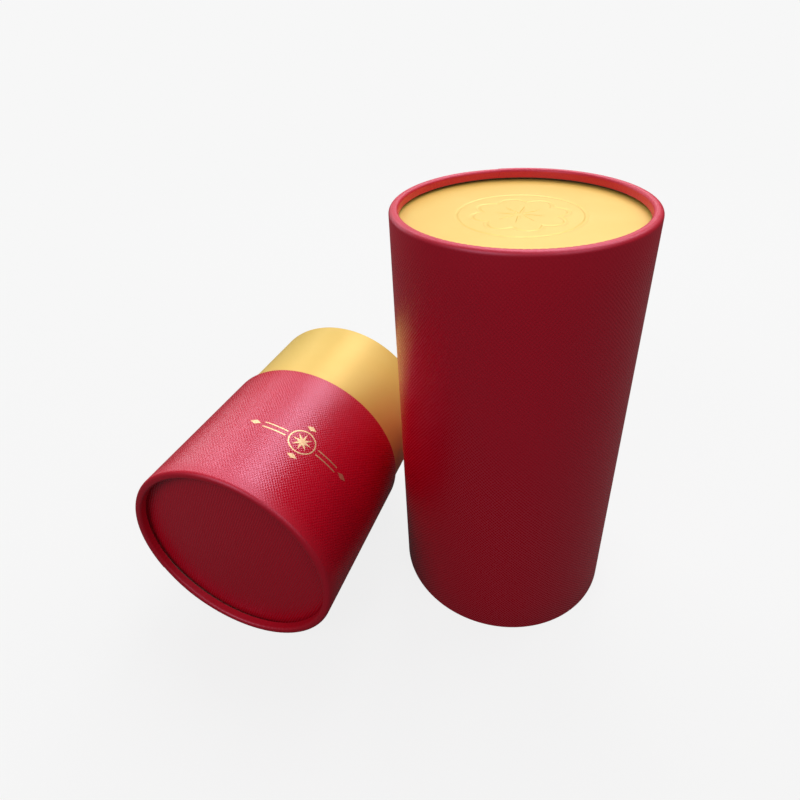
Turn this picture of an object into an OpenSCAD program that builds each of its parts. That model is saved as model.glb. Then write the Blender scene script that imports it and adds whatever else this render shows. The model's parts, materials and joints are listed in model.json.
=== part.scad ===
// Cylindrical gift tube box, taken apart. The tall cover stands on its mouth. Beside it the short
// base lies on its side, with the gold neck that the cover slides over.
// Millimetres, +Z up. The origin is the centre of the cover's mouth, on the surface that both
// halves rest on. The base lies along Y, with its rolled rim towards -Y.

/* [Halves] */
// Outer diameter of the cover and of the base's sleeve
tube_d = 95; // [80:0.5:120]
// Height of the cover, from its mouth to the top of its rolled rim
cover_h = 180.2; // [130:0.1:240]
// Length of the base's sleeve, from its rolled rim to its mouth
sleeve_l = 74.7; // [55:0.1:110]
// How far the neck stands out of the sleeve
neck_rise = 46.8; // [25:0.1:80]

/* [Walls and fits] */
// Wall of the board tube in each half
tube_wall = 1; // [0.8:0.1:1.3]
// Thickness of the card liner in each half
liner_t = 0.3; // [0.2:0.05:0.8]
// Wall of the neck's board tube
neck_wall = 1.2; // [0.8:0.1:2]
// Radial clearance between the neck and the liners
neck_clearance = 0.1; // [0.05:0.05:0.3]
// Radial gap that glue fills around an end disc
glue_gap = 0.1; // [0.05:0.05:0.2]

/* [Papers] */
// Thickness of the red embossed wrapping paper
wrap_t = 0.2; // [0.15:0.05:0.4]
// Thickness of the gold paper
gold_t = 0.15; // [0.1:0.05:0.3]
// Thickness of the neck's lining paper
lining_t = 0.15; // [0.1:0.05:0.3]
// How far the red paper is turned in at a mouth
wrap_turn_in = 12; // [6:1:20]
// How far the gold paper is turned in at the neck's lip
gold_turn_in = 15; // [6:1:25]
// How far the gold paper reaches into the sleeve
gold_tuck = 20; // [5:1:30]
// How far a liner's edge stands back from its mouth
liner_setback = 2; // [1:0.5:5]

/* [Rolled rim] */
// Width of the rolled rim
rim_w = 3.5; // [3.4:0.1:5]
// Depth of the rim's inner leg
rim_leg = 3.5; // [3:0.1:4.2]
// Radius of the rim's outer corner
rim_outer_r = 1.8; // [1.5:0.1:2]
// Radius of the rim's inner corner
rim_inner_r = 1.2; // [0.8:0.1:1.4]

/* [End discs] */
// Depth of an end disc's face below the rim
disc_drop = 4.7; // [4.5:0.1:8]
// Thickness of the board in an end disc
disc_t = 2; // [1.5:0.1:3]
// Thickness of the card that lines an end disc inside
card_t = 0.5; // [0.3:0.1:1]
// Radius of the ring pressed into the top disc
ring_r = 23; // [12:0.5:34]
// Width of the pressed ring
ring_w = 1.2; // [1:0.1:3]
// Depth of the pressed ring
ring_depth = 0.3; // [0.1:0.05:0.4]

/* [Foil ornament] */
// Thickness of the foil
foil_t = 0.05; // [0.03:0.01:0.1]
// Distance of the ornament's middle from the bottom rim
foil_up = 35; // [25:1:42]
// Turn of the ornament from straight up towards the cover, in degrees
foil_turn = 29; // [-60:1:60]
// Outer radius of the ring in the middle
medal_r = 6.2; // [4:0.1:8]
// Width of that ring's line
medal_line = 0.6; // [0.4:0.1:1]
// Reach of the star's rays from the middle
ray_l = 4.7; // [3:0.1:7]
// Width of a ray at the middle
ray_w = 1.7; // [1:0.1:2.5]
// Space between neighbouring marks
mark_gap = 1.3; // [0.8:0.1:2.5]
// Length of the side rules
rule_l = 10.5; // [5:0.5:14]
// Width of a rule
rule_w = 0.6; // [0.4:0.1:1]
// Distance between the two rules of a side
rule_pitch = 2.6; // [2:0.1:5]
// Length of an end lozenge
lozenge_l = 4.6; // [2:0.1:6]
// Width of an end lozenge
lozenge_w = 2.6; // [1:0.1:4]

/* [Arrangement] */
// Gap between the two halves as they rest
halves_gap = 4.5; // [2:0.1:60]
// How far the sleeve's mouth lies in front of the cover's axis
mouth_forward = 9; // [-60:0.2:60]

/* [Hidden] */
$fn = 96;
// how far a cut runs past the piece that it cuts
past = 1;
rays = 4;
tube_r = tube_d / 2;
// the board's faces, from the outside in
board_r = tube_r - wrap_t;
board_bore_r = board_r - tube_wall;
turned_r = board_bore_r - wrap_t;
liner_r = turned_r - liner_t;
// the rolled rim, whose inner leg hangs at this radius
leg_r = tube_r - rim_w;
// the end discs, pushed into the board tube
disc_r = board_bore_r - glue_gap;
// the neck, from the outside in
neck_r = liner_r - neck_clearance;
neck_board_r = neck_r - gold_t;
neck_board_bore_r = neck_board_r - neck_wall;
neck_bore_r = neck_board_bore_r - lining_t;

// inner face of the card behind an end disc, in a half of height h with face paper paper_t
function card_face(h, paper_t) = h - disc_drop - paper_t - disc_t - card_t;

// a face at height z from the axis to radius r, with the pressed ring sunk into it
function pressed_face(r, z) = [
    [0, z],
    [ring_r - ring_w / 2, z],
    [ring_r - ring_w / 2 + ring_depth, z - ring_depth],
    [ring_r + ring_w / 2 - ring_depth, z - ring_depth],
    [ring_r + ring_w / 2, z],
    [r, z]
];

function reversed(points) = [for (i = [len(points) - 1 : -1 : 0]) points[i]];

// Each half is drawn with its mouth at z = 0 and its rolled rim at z = h.

// Outline of a wall and its rim together, with both top corners rounded
module rim_outline(r, h, w, outer_r, inner_r) {
    difference() {
        translate([r - w, 0]) square([w, h]);
        translate([r - outer_r, h - outer_r]) difference() {
            square(outer_r + past);
            circle(outer_r);
        }
        translate([r - w + inner_r, h - inner_r]) difference() {
            translate([-inner_r - past, 0]) square(inner_r + past);
            circle(inner_r);
        }
    }
}

module board_outline(h) {
    translate([0, wrap_t]) rim_outline(
        board_r, h - 2 * wrap_t, rim_w - 2 * wrap_t, rim_outer_r - wrap_t, rim_inner_r - wrap_t
    );
}

module ring(r_out, r_in, z_from, z_to) {
    translate([0, 0, z_from]) difference() {
        cylinder(h = z_to - z_from, r = r_out);
        translate([0, 0, -past]) cylinder(h = z_to - z_from + 2 * past, r = r_in);
    }
}

// Board tube: a thin wall whose end is rolled inwards and down again
module rolled_tube(h) {
    rotate_extrude() difference() {
        board_outline(h);
        // the hollow under the roll, and the bore below it
        translate([leg_r + wrap_t + tube_wall, -past])
            square([board_bore_r - leg_r - wrap_t - tube_wall, h - wrap_t - tube_wall + past]);
        // what would hang below the inner leg
        translate([leg_r - past, -past])
            square([wrap_t + tube_wall + 2 * past, h - rim_leg + past]);
    }
}

// Red paper: around the tube, over the rim, down the leg, and turned in at the mouth
module wrapping(h) {
    rotate_extrude() {
        difference() {
            rim_outline(tube_r, h, rim_w, rim_outer_r, rim_inner_r);
            board_outline(h);
            translate([leg_r - past, -past])
                square([turned_r - leg_r + past, h - rim_leg + past]);
        }
        translate([turned_r, 0]) square([wrap_t, wrap_turn_in]);
    }
}

module liner(h, paper_t) {
    ring(turned_r, liner_r, liner_setback, card_face(h, paper_t));
}

module end_card(h, paper_t) {
    translate([0, 0, card_face(h, paper_t)]) cylinder(h = card_t, r = disc_r);
}

// The lying base: its mouth's centre, with the half's own +Z turned towards -Y
module lying_base() {
    translate([-tube_d - halves_gap, -mouth_forward, tube_r]) rotate([90, 0, 0]) children();
}

module lozenge(l, w) {
    polygon([[-l / 2, 0], [0, -w / 2], [l / 2, 0], [0, w / 2]]);
}

module foil_motif() {
    rule_start = medal_r + mark_gap;
    lozenge_middle = rule_start + rule_l + mark_gap + lozenge_l / 2;
    difference() {
        circle(medal_r);
        circle(medal_r - medal_line);
    }
    for (i = [0 : rays - 1])
        rotate(i * 180 / rays) lozenge(2 * ray_l, ray_w);
    for (side = [-1, 1]) {
        for (level = [-1, 1])
            translate([side * (rule_start + rule_l / 2), level * rule_pitch / 2])
                square([rule_l, rule_w], center = true);
        translate([side * lozenge_middle, 0]) lozenge(lozenge_l, lozenge_w);
        translate([0, side * (medal_r + mark_gap + lozenge_w / 2)])
            lozenge(lozenge_l, lozenge_w);
    }
}

module cover_liner() {
    color("ivory") liner(cover_h, gold_t);
}

module cover_tube() {
    color("tan") rolled_tube(cover_h);
}

module cover_wrap() {
    color("crimson") wrapping(cover_h);
}

module cover_top_board() {
    top = cover_h - disc_drop - gold_t;
    color("tan") rotate_extrude()
        polygon(concat(pressed_face(disc_r, top), [[disc_r, top - disc_t], [0, top - disc_t]]));
}

// Gold paper, pasted on the board, punched out with it and pressed with the ring
module cover_top_paper() {
    top = cover_h - disc_drop;
    color("gold") rotate_extrude() polygon(concat(
        pressed_face(disc_r, top), reversed(pressed_face(disc_r, top - gold_t))
    ));
}

module cover_ceiling_card() {
    color("ivory") end_card(cover_h, gold_t);
}

module base_liner() {
    color("ivory") lying_base() liner(sleeve_l, wrap_t);
}

module base_tube() {
    color("tan") lying_base() rolled_tube(sleeve_l);
}

module base_wrap() {
    color("crimson") lying_base() wrapping(sleeve_l);
}

module base_bottom_board() {
    color("tan") lying_base() translate([0, 0, sleeve_l - disc_drop - wrap_t - disc_t])
        cylinder(h = disc_t, r = disc_r);
}

module base_bottom_paper() {
    color("firebrick") lying_base() translate([0, 0, sleeve_l - disc_drop - wrap_t])
        cylinder(h = wrap_t, r = disc_r);
}

module base_floor_card() {
    color("ivory") lying_base() end_card(sleeve_l, wrap_t);
}

module neck_tube() {
    color("tan") lying_base()
        ring(neck_board_r, neck_board_bore_r, gold_t - neck_rise, card_face(sleeve_l, wrap_t));
}

module neck_wrap() {
    color("gold") lying_base() rotate_extrude() {
        translate([neck_board_r, -neck_rise]) square([gold_t, neck_rise + gold_tuck]);
        translate([neck_bore_r, -neck_rise]) square([neck_r - neck_bore_r, gold_t]);
        translate([neck_bore_r, -neck_rise]) square([lining_t, gold_turn_in]);
    }
}

module neck_lining() {
    color("ivory") lying_base() ring(
        neck_board_bore_r, neck_bore_r, gold_turn_in - neck_rise, card_face(sleeve_l, wrap_t)
    );
}

module foil_ornament() {
    color("khaki") lying_base() intersection() {
        ring(tube_r + foil_t, tube_r, 0, sleeve_l);
        rotate([0, 0, -foil_turn]) rotate([-90, 0, 0]) translate([0, foil_up - sleeve_l, 0])
            linear_extrude(tube_r + foil_t + past) foil_motif();
    }
}

cover_liner();
cover_tube();
cover_wrap();
cover_top_board();
cover_top_paper();
cover_ceiling_card();
base_liner();
base_tube();
base_wrap();
base_bottom_board();
base_bottom_paper();
base_floor_card();
neck_tube();
neck_wrap();
neck_lining();
foil_ornament();
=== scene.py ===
# %% [markdown]
# # A gift tube box, taken apart
# The box is a pair of paper-covered board tubes. The tall red cover stands on its mouth, and its
# top is a gold disc, sunk inside a rolled rim. The short red base lies on its side, with the gold
# neck that the cover slides over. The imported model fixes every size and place. This lesson keeps
# its hidden boards and cards, rebuilds the papers that show, and gives each one its finish.

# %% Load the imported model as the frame
import json
import math
import bmesh
import bpy
import numpy as np
from mathutils import Matrix, Vector


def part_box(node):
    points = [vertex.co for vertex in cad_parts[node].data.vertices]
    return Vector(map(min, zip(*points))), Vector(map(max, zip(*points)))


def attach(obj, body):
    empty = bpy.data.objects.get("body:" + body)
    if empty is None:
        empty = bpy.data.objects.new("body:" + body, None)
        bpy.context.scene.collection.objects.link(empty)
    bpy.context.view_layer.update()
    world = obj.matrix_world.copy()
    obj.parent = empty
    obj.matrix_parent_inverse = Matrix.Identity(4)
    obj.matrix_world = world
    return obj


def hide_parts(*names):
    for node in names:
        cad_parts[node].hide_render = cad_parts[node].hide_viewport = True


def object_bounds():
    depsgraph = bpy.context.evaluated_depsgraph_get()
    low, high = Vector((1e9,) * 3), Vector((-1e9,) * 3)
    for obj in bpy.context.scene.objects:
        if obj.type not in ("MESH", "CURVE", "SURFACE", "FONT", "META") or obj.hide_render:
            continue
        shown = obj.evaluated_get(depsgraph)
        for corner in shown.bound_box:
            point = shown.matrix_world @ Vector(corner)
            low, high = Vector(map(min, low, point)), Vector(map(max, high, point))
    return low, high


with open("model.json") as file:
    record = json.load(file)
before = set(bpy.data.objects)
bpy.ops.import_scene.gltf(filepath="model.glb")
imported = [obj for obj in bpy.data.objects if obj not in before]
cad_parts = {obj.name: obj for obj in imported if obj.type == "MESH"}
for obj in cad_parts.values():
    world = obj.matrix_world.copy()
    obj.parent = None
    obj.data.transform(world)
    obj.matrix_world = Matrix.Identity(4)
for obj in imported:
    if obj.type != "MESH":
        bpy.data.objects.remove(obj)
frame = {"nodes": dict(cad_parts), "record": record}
cad_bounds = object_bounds()
MM = 0.001
print("pieces in the frame:", len(frame["nodes"]))

# %% [markdown]
# ## Sizes from the frame
# A maker measures the boards before cutting the papers. Each size that a imported piece already has
# is read from that piece's box, so the papers always fit the boards below them. Only what no box
# can tell, such as the radius of a rolled corner, is given here.

# %% Read the sizes
def reach(node):
    """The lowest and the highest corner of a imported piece, as arrays in metres."""
    low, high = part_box(node)
    return np.array(low), np.array(high)


def radius_of(node):
    """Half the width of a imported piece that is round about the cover's or the base's axis."""
    low, high = reach(node)
    return (high[0] - low[0]) / 2


tube_r = radius_of("cover_wrap")
board_r = radius_of("cover_tube")
turned_r = radius_of("cover_liner")
wrap_t = tube_r - board_r
board_bore_r = turned_r + wrap_t
cover_h = reach("cover_wrap")[1][2]
sleeve_low, sleeve_high = reach("base_wrap")
sleeve_l = sleeve_high[1] - sleeve_low[1]

# the paper's fold at the mouth, how far it turns in there, and the rolled rim at the other end
FOLD_R = 0.4 * MM
WRAP_TURN_IN = 12 * MM
RIM_W = 3.5 * MM
RIM_LEG = 3.5 * MM
RIM_OUTER_R = 1.8 * MM
RIM_INNER_R = 1.2 * MM
leg_r = tube_r - RIM_W
print("tube radius %.2f mm, cover %.1f mm tall, sleeve %.1f mm long"
      % (tube_r / MM, cover_h / MM, sleeve_l / MM))

# %% [markdown]
# ## Where the halves lie
# Both halves are drawn the same way, with the mouth at height 0 and the rolled rim at the top.
# The cover stands just so. The base is turned onto its side: what was its height now runs from
# the mouth towards the camera, and what was its y points up.

# %% Place the halves
base_axis_x = (sleeve_low[0] + sleeve_high[0]) / 2
base_axis_z = (sleeve_low[2] + sleeve_high[2]) / 2
mouth_y = sleeve_high[1]


def standing(points):
    """The cover's own x, y and height are the frame's."""
    return points


def lying(points):
    """The base's own (x, y, height) goes to (axis + x, mouth - height, axis + y)."""
    x, y, height = points[..., 0], points[..., 1], points[..., 2]
    return np.stack((base_axis_x + x, mouth_y - height, base_axis_z + y), axis=-1)


print("base axis at x %.1f, z %.1f mm" % (base_axis_x / MM, base_axis_z / MM))

# %% [markdown]
# ## Finishes: how a node tree is built
# Colours are written as the sRGB hex values that a maker's colour card gives, and one function
# turns them to the linear numbers that the shader mixes. One more small function adds a node,
# sets its options and fills its inputs, either with a number or with another node's output.

# %% Helpers for colours and nodes
def linear(hex_colour):
    """Each sRGB channel c to linear: c / 12.92 below 0.04045, else ((c + 0.055) / 1.055) ^ 2.4."""
    channels = [int(hex_colour[i:i + 2], 16) / 255 for i in (1, 3, 5)]
    return [c / 12.92 if c <= 0.04045 else ((c + 0.055) / 1.055) ** 2.4 for c in channels] + [1]


def add(tree, kind, inputs, **options):
    """A new node with its options set, and each input given a value or a link."""
    node = tree.nodes.new(kind)
    for name, value in options.items():
        setattr(node, name, value)
    for name, value in inputs.items():
        if isinstance(value, bpy.types.NodeSocket):
            tree.links.new(value, node.inputs[name])
        else:
            node.inputs[name].default_value = value
    return node


def blank(name):
    """A material with an empty node tree."""
    material = bpy.data.materials.new(name)
    material.use_nodes = True
    material.node_tree.nodes.clear()
    return material, material.node_tree


# the colour sockets of a Mix node, by number, because its number sockets share their names
MIX_A = 6
MIX_B = 7
MIX_OUT = 2
# a Wave texture of scale 1 repeats each tenth of pi
WAVE_PERIOD = math.pi / 10
print("a middle grey of #808080 is %.3f in linear light" % linear("#808080")[0])

# %% [markdown]
# ## Red embossed paper
# The red is a coated art paper, pressed between rollers with a fine crossed line so that it feels
# like cloth. The lines lie about 1 mm apart and lean to both sides of the tube's axis. They could
# be modelled, but at this pitch that takes millions of faces, so waves on the paper's own
# millimetre map tilt the shading instead. The coating holds pearl pigment, which throws back more
# light than clear lacquer does (an index near 1.6) and tints it pink. Where the rim stretches the
# sheet, its lines are ironed nearly flat: each piece says so point by point, as "embossed". The
# bottom's sheet was pressed harder, so its valleys are deeper. On both papers the valleys are
# painted darker than the ridges, as painted shade in the grooves.

# %% Mix the red paper
RIB_PITCH = 1.05 * MM
RIB_DEPTH = 0.07 * MM
# the paper's red on the ridges, and the darker red of the valleys, which is painted shade in the
# grooves
RED = "#D80224"
RED_SHADED_VALLEY = "#CB021A"
DISC_RIB_PITCH = 1.07 * MM
DISC_RIB_DEPTH = 0.1 * MM
# the bottom disc's red on the ridges, and the darker red of its valleys, painted shade in the
# grooves
DISC_RED = "#EA042A"
DISC_RED_SHADED_VALLEY = "#B2001A"

# each family of ribs: its lean in degrees, its pitch and its share of the height
TUBE_RIBS = (
    (43.5, RIB_PITCH, 0.55),
    (142, RIB_PITCH, 0.45))
DISC_RIBS = (
    (154, DISC_RIB_PITCH, 0.75),
    (65, RIB_PITCH, 0.15))
# how far the ribs wander, in radians of their wave, and how tightly
RIB_WANDER = 2.6
RIB_WANDER_SCALE = 1.1
GRAIN = 0.7 * MM
GRAIN_SHARE = 0.8

# the summed height at which the paper is dullest and glossiest, and its roughness there
DULL_HEIGHT = 0.6
POLISHED_HEIGHT = 1.2
DULL_ROUGHNESS = 0.46
POLISHED_ROUGHNESS = 0.14
PEARL_IOR = 1.6
PEARL_TINT = "#FFC8EC"


def red_embossed_paper(name, families, depth, shaded_valley, ridge):
    """Ribs lean by each family's angle. Their heights and a fine grain are added. The valleys are
    painted darker than the ridges, as painted shade in the grooves, and they are duller, as the
    rollers polish the ridges. A rib is depth tall."""
    material, tree = blank(name)
    paper = add(tree, "ShaderNodeUVMap", {}, uv_map="paper").outputs["UV"]
    height = 0
    for lean, pitch, share in families:
        turned = add(tree, "ShaderNodeMapping", {
            "Vector": paper, "Rotation": (0, 0, math.radians(-lean))})
        ribs = add(tree, "ShaderNodeTexWave", {
            "Vector": turned.outputs["Vector"], "Scale": WAVE_PERIOD / pitch,
            "Distortion": RIB_WANDER, "Detail": 2, "Detail Scale": RIB_WANDER_SCALE},
            bands_direction="X")
        height = add(tree, "ShaderNodeMath", {
            0: ribs.outputs["Fac"], 1: share, 2: height}, operation="MULTIPLY_ADD").outputs[0]
    fibre = add(tree, "ShaderNodeTexNoise", {
        "Vector": paper, "Scale": 1 / GRAIN, "Detail": 2, "Roughness": 0.6})
    uneven = add(tree, "ShaderNodeMath", {
        0: fibre.outputs["Fac"], 1: GRAIN_SHARE, 2: height},
        operation="MULTIPLY_ADD").outputs[0]
    # the grain's random tone, with painted shade that darkens the rib valleys
    tone = add(tree, "ShaderNodeMix", {
        0: uneven, MIX_A: linear(shaded_valley), MIX_B: linear(ridge)}, data_type="RGBA")
    embossed = add(tree, "ShaderNodeAttribute", {}, attribute_name="embossed").outputs["Fac"]
    bump = add(tree, "ShaderNodeBump", {
        "Height": uneven, "Distance": depth, "Strength": embossed})
    polished = add(tree, "ShaderNodeMath", {0: uneven, 1: embossed}, operation="MULTIPLY")
    polish = add(tree, "ShaderNodeMapRange", {
        "Value": polished.outputs[0],
        "From Min": DULL_HEIGHT, "From Max": POLISHED_HEIGHT,
        "To Min": DULL_ROUGHNESS, "To Max": POLISHED_ROUGHNESS})
    shader = add(tree, "ShaderNodeBsdfPrincipled", {
        "Base Color": tone.outputs[MIX_OUT], "Roughness": polish.outputs["Result"],
        "IOR": PEARL_IOR, "Specular IOR Level": 1, "Specular Tint": linear(PEARL_TINT),
        "Normal": bump.outputs["Normal"]})
    add(tree, "ShaderNodeOutputMaterial", {"Surface": shader.outputs["BSDF"]})
    return material


tube_paper = red_embossed_paper("red_embossed_paper", TUBE_RIBS, RIB_DEPTH, RED_SHADED_VALLEY, RED)
bottom_paper = red_embossed_paper(
    "red_ribbed_paper", DISC_RIBS, DISC_RIB_DEPTH, DISC_RED_SHADED_VALLEY, DISC_RED)
print("red papers mixed:", tube_paper.name, bottom_paper.name)

# %% [markdown]
# ## Gold pearl paper
# The neck and the top disc carry a smooth paper coated with fine gold mica. It has the colour of
# butter in light and of amber in shade, and it answers a window with a wide soft sheen. A little
# metal in the shader stands for the mica, and a faint noise for the paper under it.

# %% Mix the gold paper
GOLD = "#FAD673"
GOLD_DEEP = "#F5CD64"
CLOUD_SIZE = 14 * MM
GOLD_FIBRE = 0.9 * MM
GOLD_FIBRE_DEPTH = 0.012 * MM
MICA_SHARE = 0.15
MICA_ROUGHNESS = 0.42


def gold_pearl_paper():
    """Two close golds, mixed by a soft noise, on a satin surface with a little metal."""
    material, tree = blank("gold_pearl_paper")
    place = add(tree, "ShaderNodeTexCoord", {}).outputs["Object"]
    cloud = add(tree, "ShaderNodeTexNoise", {
        "Vector": place, "Scale": 1 / CLOUD_SIZE, "Detail": 4, "Roughness": 0.55})
    fibre = add(tree, "ShaderNodeTexNoise", {
        "Vector": place, "Scale": 1 / GOLD_FIBRE, "Detail": 3, "Roughness": 0.6})
    tone = add(tree, "ShaderNodeMix", {
        0: cloud.outputs["Fac"], MIX_A: linear(GOLD_DEEP), MIX_B: linear(GOLD)}, data_type="RGBA")
    bump = add(tree, "ShaderNodeBump", {
        "Height": fibre.outputs["Fac"], "Distance": GOLD_FIBRE_DEPTH, "Strength": 1})
    shader = add(tree, "ShaderNodeBsdfPrincipled", {
        "Base Color": tone.outputs[MIX_OUT], "Metallic": MICA_SHARE,
        "Roughness": MICA_ROUGHNESS, "IOR": 1.5, "Specular IOR Level": 0.5,
        "Normal": bump.outputs["Normal"]})
    add(tree, "ShaderNodeOutputMaterial", {"Surface": shader.outputs["BSDF"]})
    return material


gold_paper = gold_pearl_paper()
print("gold paper mixed:", gold_paper.name)

# %% [markdown]
# ## Hot-stamped foil, greyboard and lining card
# The foil is a thin metal film that a hot die presses into the embossed paper, so it is bright
# and a little uneven. Greyboard is pressed waste paper: dull, grey-brown, full of flecks. The
# lining card is an uncoated cream white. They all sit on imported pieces, which have no map of their
# own, so their patterns use the place in space.

# %% Mix the foil, the board and the card
FOIL_DENT = 0.05 * MM
FOIL_ROUGHNESS = 0.5
NAP_DEPTH = 0.03 * MM
BOARD_FLECK = 1.4 * MM
CARD_FLECK = 0.8 * MM


def stamped_foil():
    """Pale gold metal whose tone and tilt follow a noise as fine as the paper's ribs."""
    material, tree = blank("hot_stamped_gold_foil")
    place = add(tree, "ShaderNodeTexCoord", {}).outputs["Object"]
    grain = add(tree, "ShaderNodeTexNoise", {
        "Vector": place, "Scale": 1 / RIB_PITCH, "Detail": 2, "Roughness": 0.5})
    tone = add(tree, "ShaderNodeMix", {
        0: grain.outputs["Fac"], MIX_A: linear("#E2B88A"), MIX_B: linear("#F8E2B8")},
        data_type="RGBA")
    bump = add(tree, "ShaderNodeBump", {
        "Height": grain.outputs["Fac"], "Distance": FOIL_DENT, "Strength": 1})
    shader = add(tree, "ShaderNodeBsdfPrincipled", {
        "Base Color": tone.outputs[MIX_OUT], "Metallic": 1, "Roughness": FOIL_ROUGHNESS,
        "Normal": bump.outputs["Normal"]})
    add(tree, "ShaderNodeOutputMaterial", {"Surface": shader.outputs["BSDF"]})
    return material


def fibrous(name, dark, pale, fleck_size, roughness):
    """A matt sheet of fibres: flecks of one tone in another, with a nap as deep as a fibre."""
    material, tree = blank(name)
    place = add(tree, "ShaderNodeTexCoord", {}).outputs["Object"]
    flecks = add(tree, "ShaderNodeTexNoise", {
        "Vector": place, "Scale": 1 / fleck_size, "Detail": 5, "Roughness": 0.7})
    tone = add(tree, "ShaderNodeMix", {
        0: flecks.outputs["Fac"], MIX_A: linear(dark), MIX_B: linear(pale)}, data_type="RGBA")
    bump = add(tree, "ShaderNodeBump", {
        "Height": flecks.outputs["Fac"], "Distance": NAP_DEPTH, "Strength": 1})
    shader = add(tree, "ShaderNodeBsdfPrincipled", {
        "Base Color": tone.outputs[MIX_OUT], "Roughness": roughness, "IOR": 1.45,
        "Normal": bump.outputs["Normal"]})
    add(tree, "ShaderNodeOutputMaterial", {"Surface": shader.outputs["BSDF"]})
    return material


foil = stamped_foil()
greyboard = fibrous("greyboard", "#7D7568", "#ADA497", BOARD_FLECK, roughness=0.9)
lining_card = fibrous("uncoated_lining_card", "#E2D9C6", "#F4EDDF", CARD_FLECK, roughness=0.75)
FINISH_OF = {"gold_foil": foil, "greyboard": greyboard, "lining_card": lining_card}
finished = []
for subpart in frame["record"]["subparts"]:
    if subpart["material_slot"] in FINISH_OF:
        packed = frame["nodes"][subpart["node"]]
        packed.data.materials.clear()
        packed.data.materials.append(FINISH_OF[subpart["material_slot"]])
        finished.append(subpart["node"])
print("packed pieces finished:", len(finished))

# %% [markdown]
# ## From a cross-section to a paper
# Every paper here is turned: a cross-section in radius and height, carried once around the axis.
# A Screw modifier could do it, but a grid of points worked out as whole arrays also lets the
# paper pleat, lap over itself and carry a map that runs in real millimetres along it.

# %% Helpers for cross-sections
# points closer than this are one point
ONE_SPOT = 0.0001 * MM


def arc(middle, radius, start, end, steps):
    """Points of an arc: the middle plus the radius times (cos a, sin a), a from start to end."""
    a = np.radians(np.linspace(start, end, steps))
    return np.column_stack((middle[0] + radius * np.cos(a), middle[1] + radius * np.sin(a)))


def run(start, end, steps=2):
    """Points of a straight stretch: start plus t times the way to the end, t from 0 to 1."""
    t = np.linspace(0, 1, steps)[:, None]
    return (1 - t) * np.array(start) + t * np.array(end)


def joined(*parts):
    """The parts end to end, without the points that repeat the one before."""
    points = np.concatenate(parts)
    moves = np.linalg.norm(np.diff(points, axis=0), axis=1)
    return points[np.append(True, moves > ONE_SPOT)]


def along(points):
    """The length from the first point to each point: the running sum of the steps."""
    return np.append(0, np.cumsum(np.linalg.norm(np.diff(points, axis=0), axis=1)))


def outward(points):
    """Unit normals of a cross-section: its direction (dr, dz) turned to (dz, -dr)."""
    direction = np.gradient(points, axis=0)
    normal = np.column_stack((direction[:, 1], -direction[:, 0]))
    return normal / np.linalg.norm(normal, axis=1)[:, None]


def smooth(t):
    """A soft step from 0 to 1: 3 t squared less 2 t cubed, held at both ends."""
    t = np.clip(t, 0, 1)
    return t * t * (3 - 2 * t)


rim_corner = arc((0, 0), RIM_OUTER_R, 0, 90, steps=15)
print("the rim's outer corner takes %.2f mm of paper" % (along(rim_corner)[-1] / MM))

# %% Helper that turns a grid of points into a closed mesh
# faces that meet at more than this angle keep a crisp edge
SHARP_EDGE = math.radians(35)


def skin(name, grid, paper_map, loop, finish):
    """A mesh of quads between neighbours in grid[row, column]. The last column joins the first.
    With loop the last row joins the first too, and otherwise both end rows close to a point.
    The map has one more column, and with loop one more row, so that it doesn't jump back."""
    rows, columns = grid.shape[:2]
    i, j = np.meshgrid(np.arange(rows if loop else rows - 1), np.arange(columns), indexing="ij")
    corner_i = np.stack((i, i, i + 1, i + 1), axis=-1)
    corner_j = np.stack((j, j + 1, j + 1, j), axis=-1)
    faces = (corner_i % rows) * columns + corner_j % columns
    mesh = bpy.data.meshes.new(name)
    mesh.from_pydata(grid.reshape(-1, 3), [], faces.reshape(-1, 4).tolist())
    layer = mesh.uv_layers.new(name="paper")
    layer.data.foreach_set("uv", paper_map[corner_i, corner_j].astype(np.float32).ravel())
    if not loop:
        close_points(mesh)
    mesh.shade_smooth()
    mesh.set_sharp_from_angle(angle=SHARP_EDGE)
    mesh.materials.append(finish)
    piece = bpy.data.objects.new(name, mesh)
    bpy.context.scene.collection.objects.link(piece)
    print(name, "has", len(mesh.polygons), "faces")
    return piece


def close_points(mesh):
    """Merges the corners that lie on one spot, as they do in the middle of a disc."""
    shape = bmesh.new()
    shape.from_mesh(mesh)
    bmesh.ops.remove_doubles(shape, verts=shape.verts, dist=ONE_SPOT)
    shape.to_mesh(mesh)
    shape.free()


def emboss(piece, depth):
    """Writes the depth of the ribs at each point: 1 as rolled, 0 where they are ironed flat."""
    layer = piece.data.attributes.new("embossed", "FLOAT", "POINT")
    depths = np.broadcast_to(depth, len(piece.data.vertices))
    layer.data.foreach_set("value", depths.astype(np.float32))


def dress(piece, body, node):
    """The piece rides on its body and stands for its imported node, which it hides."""
    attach(piece, body)
    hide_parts(node)


print("edges sharper than %.0f degrees stay crisp" % math.degrees(SHARP_EDGE))

# %% Helper that carries a cross-section around the axis
LAP_EDGE = 0.1 * MM


def around(columns, seam):
    """Angles of a full turn from the seam, with one more just before it, at the lap's edge."""
    turn = np.linspace(0, 2 * np.pi, columns, endpoint=False)
    return math.radians(seam) + np.append(turn, 2 * np.pi - LAP_EDGE / tube_r)


def turned_grid(profile, angles, inset):
    """Point [row, column] is ((r cos a, r sin a), height), moved inset along minus the normal."""
    normal = outward(profile)
    radius = profile[:, :1] - inset * normal[:, :1]
    height = profile[:, 1:] - inset * normal[:, 1:]
    return np.stack((radius * np.cos(angles), radius * np.sin(angles), height), axis=-1)


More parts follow.
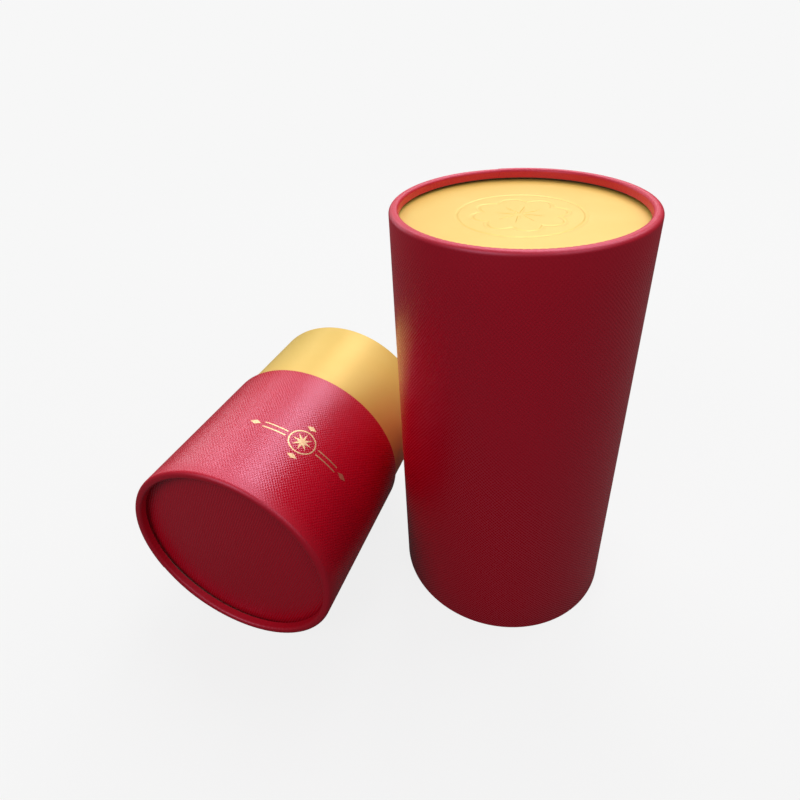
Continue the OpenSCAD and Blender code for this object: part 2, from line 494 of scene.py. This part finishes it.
def turned_map(profile, angles, radius):
    """(u, v) in metres: the arc from the seam at that radius, and the length along the paper."""
    u = np.append(angles - angles[0], 2 * np.pi) * radius
    v = along(np.vstack((profile, profile[:1])))
    return np.stack(np.broadcast_arrays(u[None, :], v[:, None]), axis=-1)


print("a sheet around the tube is %.1f mm wide" % (2 * math.pi * tube_r / MM))

# %% [markdown]
# ## The red wrapping papers
# One sheet goes around each tube, laps over itself at a seam, turns into the mouth and rolls over
# the rim with the board. On the inside of the rim the paper has a shorter way round, so it
# gathers in tiny pleats. These are real folds, so they are moved points and not only shading.

# %% Turn the red papers
WRAP_COLUMNS = 640
# where each sheet's lap shows, in degrees around the tube, and the seed of its pleats
COVER_SEAM = 112
BASE_SEAM = -152
COVER_PLEAT_SEED = 3
BASE_PLEAT_SEED = 8
PLEATS = 118
PLEAT_DEPTH = 0.13 * MM
# the slow waves, counted per turn, that move the pleats and that let them come and go
WANDER_WAVES = (5, 11, 17)
STRENGTH_WAVES = (2, 3, 7)
# how much of the embossing the rim irons out, how far below the top that starts, and the height
# over which it builds up
RIM_IRONED = 0.85
IRONED_FROM = 2.8 * MM
IRONED_WITHIN = 1.8 * MM
# the sheet lies lower behind its lap by one step, which fades out further round
LAP_STEP = 0.14 * MM
LAP_FADE = 22 * MM
# a fold or a lap never sinks through the sheet onto the board behind it
DEEPEST_SHARE = 0.9


def wrapping_profile(h):
    """The paper's outer face: from inside the mouth, round its fold, up the wall, over the rim
    and down the inner leg. Then its inner face, back the same way, against the board."""
    outer_face = joined(
        run((turned_r, WRAP_TURN_IN), (turned_r, FOLD_R), steps=5),
        arc((turned_r + FOLD_R, FOLD_R), FOLD_R, 180, 270, steps=5),
        arc((tube_r - FOLD_R, FOLD_R), FOLD_R, -90, 0, steps=7),
        run((tube_r, FOLD_R), (tube_r, h - RIM_OUTER_R), steps=12),
        arc((tube_r - RIM_OUTER_R, h - RIM_OUTER_R), RIM_OUTER_R, 0, 90, steps=15),
        arc((leg_r + RIM_INNER_R, h - RIM_INNER_R), RIM_INNER_R, 90, 180, steps=13),
        run((leg_r, h - RIM_INNER_R), (leg_r, h - RIM_LEG), steps=5))
    inner_face = joined(
        run((leg_r + wrap_t, h - RIM_LEG), (leg_r + wrap_t, h - RIM_INNER_R)),
        arc((leg_r + RIM_INNER_R, h - RIM_INNER_R), RIM_INNER_R - wrap_t, 180, 90, steps=7),
        arc((tube_r - RIM_OUTER_R, h - RIM_OUTER_R), RIM_OUTER_R - wrap_t, 90, 0, steps=7),
        run((board_r, h - RIM_OUTER_R), (board_r, wrap_t)),
        run((board_bore_r, wrap_t), (board_bore_r, WRAP_TURN_IN)))
    return outer_face, inner_face


def slow_waves(waves, angles, shifts):
    """The sum of sin(k a + s), one for each number of waves k a turn, each with its shift s."""
    return sum(np.sin(k * angles + s) for k, s in zip(waves, shifts))


def pleats(angles, seed):
    """Depth from 0 to 1: the upper half of a sine of PLEATS waves a turn, squared. Slow sines
    move the folds a little to and fro, and let them come and go."""
    random = np.random.default_rng(seed)
    shifts = random.uniform(0, 2 * np.pi, len(WANDER_WAVES) + len(STRENGTH_WAVES))
    wander = slow_waves(WANDER_WAVES, angles, shifts)
    swell = slow_waves(STRENGTH_WAVES, angles, shifts[len(WANDER_WAVES):])
    strength = 0.5 + swell / (2 * len(STRENGTH_WAVES))
    return np.clip(np.sin(PLEATS * angles + wander), 0, 1) ** 2 * strength


def wrapping(node, h, seam, seed, place, body):
    """The red paper of a half of height h: turned, with its pleats and its lapped seam. On the
    rim, and a little below it, the ribs are ironed."""
    outer_face, inner_face = wrapping_profile(h)
    profile = np.vstack((outer_face, inner_face))
    angles = around(WRAP_COLUMNS, seam)
    shown = np.arange(len(profile))[:, None] < len(outer_face)
    on_rim = smooth((tube_r - profile[:, :1]) / RIM_W) * (profile[:, 1:] > h / 2)
    behind_lap = 1 - smooth((angles - angles[0]) * tube_r / LAP_FADE)
    inset = shown * (PLEAT_DEPTH * on_rim * pleats(angles, seed) + LAP_STEP * behind_lap)
    inset = np.minimum(inset, DEEPEST_SHARE * wrap_t)
    grid = place(turned_grid(profile, angles, inset))
    piece = skin(node + "_paper", grid, turned_map(profile, angles, tube_r), True, tube_paper)
    ironed = np.maximum(smooth((profile[:, 1:] - h + IRONED_FROM) / IRONED_WITHIN), on_rim)
    emboss(piece, (1 - RIM_IRONED * ironed + 0 * angles).ravel())
    dress(piece, body, node)


wrapping("cover_wrap", cover_h, COVER_SEAM, COVER_PLEAT_SEED, standing, "cover")
wrapping("base_wrap", sleeve_l, BASE_SEAM, BASE_PLEAT_SEED, lying, "base")

# %% [markdown]
# ## The gold neck paper
# The neck is the tube that the cover slides over. Its gold paper starts inside the sleeve, runs
# out to the lip, folds over it and ends inside. Its cross-section is one closed strip.

# %% Turn the neck paper
NECK_COLUMNS = 384
NECK_SEAM = -120
NECK_LAP_STEP = 0.08 * MM
LIP_R = 0.35 * MM
neck_low, neck_high = reach("neck_wrap")
neck_r = radius_of("neck_wrap")
neck_board_r = radius_of("neck_tube")
neck_board_bore_r = radius_of("neck_lining")
gold_t = neck_r - neck_board_r
neck_bore_r = neck_board_bore_r - gold_t
lip = mouth_y - neck_high[1]
inner_end = mouth_y - neck_low[1]
turned_end = mouth_y - reach("neck_lining")[1][1]
neck_face = joined(
    run((neck_bore_r, turned_end), (neck_bore_r, lip + LIP_R), steps=5),
    arc((neck_bore_r + LIP_R, lip + LIP_R), LIP_R, 180, 270, steps=7),
    arc((neck_r - LIP_R, lip + LIP_R), LIP_R, -90, 0, steps=7),
    run((neck_r, lip + LIP_R), (neck_r, inner_end), steps=12))
neck_back = joined(
    run((neck_board_r, inner_end), (neck_board_r, lip + gold_t)),
    run((neck_board_bore_r, lip + gold_t), (neck_board_bore_r, turned_end)))
neck_profile = np.vstack((neck_face, neck_back))
neck_angles = around(NECK_COLUMNS, NECK_SEAM)
neck_shown = np.arange(len(neck_profile))[:, None] < len(neck_face)
neck_inset = neck_shown * NECK_LAP_STEP * (
    1 - smooth((neck_angles - neck_angles[0]) * neck_r / LAP_FADE))
neck_paper = skin(
    "neck_wrap_paper", lying(turned_grid(neck_profile, neck_angles, neck_inset)),
    turned_map(neck_profile, neck_angles, neck_r), True, gold_paper)
dress(neck_paper, "base", "neck_wrap")

# %% [markdown]
# ## The end discs
# The gold disc on top of the cover is pressed with a ring and a rosette, and so is the board
# below it. The red disc in the base is plain. A disc is a cross-section too, from the middle of
# its underside to its edge and back over its face to the middle. The pressing lowers the face by
# a formula of the radius and the angle: each line is a soft groove as wide as the die's edge.

# %% Press the discs
DISC_COLUMNS = 480
PRESSED_ROWS = 190
PLAIN_ROWS = 12
# the cut edge's small slope
DISC_EDGE = 0.05 * MM
# a point this little below the face still belongs to it
FACE_SLACK = 0.01 * MM
RING_R = 23 * MM
RING_W = 1.7 * MM
RING_DEPTH = 0.2 * MM
LINE_W = 2 * MM
LINE_DEPTH = 0.2 * MM
LOBES = 8
LOBE_R = 14 * MM
LOBE_RISE = 3.6 * MM
RAY_L = 9 * MM
RAY_W = 2 * MM
# a ray's tip keeps this share of its width
RAY_TIP = 0.01
# a groove is flat out to this share of its width, and then rises to half its width
GROOVE_FLAT = 0.2
GROOVE_RISE = 0.3


def groove(distance, width):
    """1 on the line and 0 past half its width, with a soft edge between."""
    return 1 - smooth((np.abs(distance) / width - GROOVE_FLAT) / GROOVE_RISE)


def rosette(radius, angles):
    """Depth of the pressing: the ring, a wreath whose radius is LOBE_R plus LOBE_RISE times
    the size of sin(LOBES a / 2), and rays that narrow from the middle to their tips."""
    wreath = LOBE_R + LOBE_RISE * np.abs(np.sin(LOBES * angles / 2))
    lean = LOBE_RISE * LOBES / 2 * np.cos(LOBES * angles / 2) / np.maximum(radius, MM)
    from_wreath = (radius - wreath) / np.sqrt(1 + lean ** 2)
    turn = 2 * np.pi / LOBES
    from_ray = radius * np.abs(np.sin((angles + turn / 2) % turn - turn / 2))
    ray_width = RAY_W * np.clip(1 - radius / RAY_L, RAY_TIP, 1)
    rays = groove(from_ray, ray_width) * (radius < RAY_L)
    lines = np.maximum(groove(from_wreath, LINE_W), rays)
    return np.maximum(RING_DEPTH * groove(radius - RING_R, RING_W), LINE_DEPTH * lines)


def plain(radius, angles):
    """No pressing: 0 at each radius and angle."""
    return 0 * radius * angles


def disc(name, node, face_height, rows, pressing, place, finish):
    """A thin round piece: along its underside, up its edge, and over its face to the middle."""
    low, high = reach(node)
    radius = (high[0] - low[0]) / 2
    thick = min(high - low)
    profile = joined(
        run((0, face_height - thick), (radius, face_height - thick), steps=3),
        run((radius, face_height - DISC_EDGE), (radius - DISC_EDGE, face_height)),
        run((radius - DISC_EDGE, face_height), (0, face_height), rows))
    angles = np.linspace(0, 2 * np.pi, DISC_COLUMNS, endpoint=False)
    grid = turned_grid(profile, angles, np.zeros((len(profile), DISC_COLUMNS)))
    on_face = profile[:, 1:] > face_height - FACE_SLACK
    grid[..., 2] -= on_face * pressing(profile[:, :1], angles)
    flat_map = np.concatenate((grid, grid[:, :1]), axis=1)[..., :2]
    return skin(name, place(grid), flat_map, False, finish)


gold_disc = disc(
    "cover_top_paper_face", "cover_top_paper", reach("cover_top_paper")[1][2],
    PRESSED_ROWS, rosette, standing, gold_paper)
dress(gold_disc, "cover", "cover_top_paper")
pressed_board = disc(
    "cover_top_board_core", "cover_top_board", reach("cover_top_board")[1][2],
    PRESSED_ROWS, rosette, standing, greyboard)
dress(pressed_board, "cover", "cover_top_board")
red_disc = disc(
    "base_bottom_paper_face", "base_bottom_paper", mouth_y - reach("base_bottom_paper")[0][1],
    PLAIN_ROWS, plain, lying, bottom_paper)
emboss(red_disc, 1)
dress(red_disc, "base", "base_bottom_paper")

# %% [markdown]
# ## The floor and the backdrop
# The box stands on a plain pale sheet. A real studio floods that sheet with light, but more light
# would also bleach the box, so the camera and glass see the sheet at its full paleness, while the
# light that it throws back onto the box comes from a dark grey. The box's own red stays deep in
# the photograph, so its gloss mirrors a dark surface there, and reflections see only a small
# share of the paleness. Near the box a share of the real shading is left, so that both halves
# keep their soft shadows.

# %% Lay the floor
PALE = 0.93
SHEET_GREY = 0.06
SHADOW_SHARE = 0.1
MIRRORED_SHARE = 0.05
# metres from the cover's foot: up to the first the shadows keep their share, past the second none
SHADOW_NEAR = 0.25
SHADOW_FAR = 0.9
FLOOR_R = 30
FLOOR_CORNERS = 64


def seen_directly(tree):
    """1 for rays from the camera or through glass, and MIRRORED_SHARE for those in a reflection."""
    path = add(tree, "ShaderNodeLightPath", {})
    mirrored = add(tree, "ShaderNodeMath", {
        0: path.outputs["Is Glossy Ray"], 1: MIRRORED_SHARE}, operation="MULTIPLY")
    either = add(tree, "ShaderNodeMath", {
        0: path.outputs["Is Camera Ray"], 1: mirrored.outputs[0]}, operation="MAXIMUM")
    return add(tree, "ShaderNodeMath", {
        0: either.outputs[0], 1: path.outputs["Is Transmission Ray"]},
        operation="MAXIMUM").outputs[0]


def pale_sheet():
    """Seen directly: a steady pale glow mixed with real shading near the box. Else dark grey."""
    material, tree = blank("pale_studio_sheet")
    place = add(tree, "ShaderNodeTexCoord", {}).outputs["Object"]
    away = add(tree, "ShaderNodeVectorMath", {0: place}, operation="LENGTH").outputs["Value"]
    share = add(tree, "ShaderNodeMapRange", {
        "Value": away, "From Min": SHADOW_NEAR, "From Max": SHADOW_FAR,
        "To Min": SHADOW_SHARE, "To Max": 0}, interpolation_type="SMOOTHSTEP")
    glow = add(tree, "ShaderNodeEmission", {"Color": (PALE, PALE, PALE, 1)})
    shaded = add(tree, "ShaderNodeBsdfDiffuse", {"Color": (PALE, PALE, PALE, 1)})
    shown = add(tree, "ShaderNodeMixShader", {
        0: share.outputs["Result"], 1: glow.outputs[0], 2: shaded.outputs[0]})
    grey = add(tree, "ShaderNodeBsdfDiffuse", {"Color": (SHEET_GREY, SHEET_GREY, SHEET_GREY, 1)})
    mixed = add(tree, "ShaderNodeMixShader", {
        0: seen_directly(tree), 1: grey.outputs[0], 2: shown.outputs[0]})
    add(tree, "ShaderNodeOutputMaterial", {"Surface": mixed.outputs[0]})
    return material


floor_mesh = bpy.data.meshes.new("studio_floor")
rim_angles = np.linspace(0, 2 * np.pi, FLOOR_CORNERS, endpoint=False)
floor_rim = np.column_stack((
    FLOOR_R * np.cos(rim_angles), FLOOR_R * np.sin(rim_angles), 0 * rim_angles))
floor_mesh.from_pydata(floor_rim, [], [list(range(FLOOR_CORNERS))])
floor_mesh.materials.append(pale_sheet())
floor = bpy.data.objects.new("studio_floor", floor_mesh)
bpy.context.scene.collection.objects.link(floor)
print("floor laid, %.0f m across" % (2 * FLOOR_R))

# %% [markdown]
# ## Light
# The glint on the lying base is broad and ends in a clear edge, and the one on the neck fades to
# the right. Each place on a shiny tube mirrors one direction of the room, so the glints tell where
# the light stood: two tall windows behind and to the left, pale walls below them, one more window
# behind to the right, and weak light from the front. The room around them is almost dark.

# %% Hang the lights
ROOM_LEVEL = 0.04
BOX_MIDDLE = (cad_bounds[0] + cad_bounds[1]) / 2


def soft_light(name, azimuth, elevation, distance, width, height, brightness):
    """A rectangle that faces the box. Azimuth runs from +Y towards +X, and both angles are in
    degrees. Its power is four times its area times its brightness, which makes it look that
    bright from anywhere in front."""
    swing = math.radians(azimuth)
    rise = math.radians(elevation)
    direction = Vector((
        math.sin(swing) * math.cos(rise), math.cos(swing) * math.cos(rise), math.sin(rise)))
    light = bpy.data.lights.new(name, "AREA")
    light.shape = "RECTANGLE"
    light.size = width
    light.size_y = height
    light.energy = 4 * width * height * brightness
    lamp = bpy.data.objects.new(name, light)
    turned = direction.to_track_quat("Z", "Y").to_matrix().to_4x4()
    lamp.matrix_world = Matrix.Translation(BOX_MIDDLE + distance * direction) @ turned
    bpy.context.scene.collection.objects.link(lamp)


soft_light("near_window", azimuth=-2, elevation=54, distance=1.6,
           width=0.68, height=1.35, brightness=2.9)
soft_light("far_window", azimuth=-50, elevation=44, distance=1.6,
           width=0.6, height=1.0, brightness=2.2)
soft_light("left_wall", azimuth=-66, elevation=15, distance=1.6,
           width=0.8, height=0.7, brightness=1.3)
soft_light("back_wall", azimuth=-18, elevation=19, distance=1.7,
           width=1.5, height=0.7, brightness=0.5)
soft_light("right_window", azimuth=48, elevation=54, distance=1.6,
           width=0.6, height=1.2, brightness=3)
soft_light("fill_left", azimuth=-160, elevation=40, distance=1.6,
           width=0.9, height=0.9, brightness=2)
soft_light("fill_right", azimuth=118, elevation=40, distance=1.6,
           width=0.9, height=0.9, brightness=1.2)


def room():
    """Rays that show the background see it pale, and all others find a dim even room."""
    world = bpy.data.worlds.new("studio_room")
    world.use_nodes = True
    tree = world.node_tree
    tree.nodes.clear()
    dim = add(tree, "ShaderNodeBackground", {"Strength": ROOM_LEVEL})
    pale = add(tree, "ShaderNodeBackground", {"Strength": PALE})
    mixed = add(tree, "ShaderNodeMixShader", {
        0: seen_directly(tree), 1: dim.outputs[0], 2: pale.outputs[0]})
    for background in (dim, pale):
        background.inputs["Color"].default_value = (1, 1, 1, 1)
    add(tree, "ShaderNodeOutputWorld", {"Surface": mixed.outputs[0]})
    return world


bpy.context.scene.world = room()
bpy.context.scene.view_settings.view_transform = "Standard"
print("lights hung:", len(bpy.data.lights))

# %% [markdown]
# ## Camera
# The photograph was taken by hand with a wide phone lens, close to the box: the near base looks
# large, and the camera leans a little. Its place, turn and lens come from the outlines of both
# halves, and the small shift from where their lines of height meet: the picture was cropped.

# %% Aim the camera
CAMERA_AT = Vector((33.66, -206.08, 245.56)) * MM
YAW = math.radians(-22.829)
DIP = math.radians(31.84)
ROLL = math.radians(-3.782)
LENS = 26.1
# shares of the picture's width
SHIFT_RIGHT = 0.008
SHIFT_UP = -0.0567
CLIP_NEAR = 0.01
CLIP_FAR = 100

forward = Vector((
    math.sin(YAW) * math.cos(DIP), math.cos(YAW) * math.cos(DIP), -math.sin(DIP)))
level_right = forward.cross(Vector((0, 0, 1))).normalized()
level_up = level_right.cross(forward)
right = math.cos(ROLL) * level_right + math.sin(ROLL) * level_up
up = math.cos(ROLL) * level_up - math.sin(ROLL) * level_right
camera_data = bpy.data.cameras.new("hand_camera")
camera_data.lens = LENS
camera_data.shift_x = SHIFT_RIGHT
camera_data.shift_y = SHIFT_UP
camera_data.clip_start = CLIP_NEAR
camera_data.clip_end = CLIP_FAR
camera = bpy.data.objects.new("hand_camera", camera_data)
facing = Matrix((right, up, -forward)).transposed().to_4x4()
camera.matrix_world = Matrix.Translation(CAMERA_AT) @ facing
bpy.context.scene.collection.objects.link(camera)
bpy.context.scene.camera = camera
print("camera stands %.0f mm above the floor" % (CAMERA_AT.z / MM))
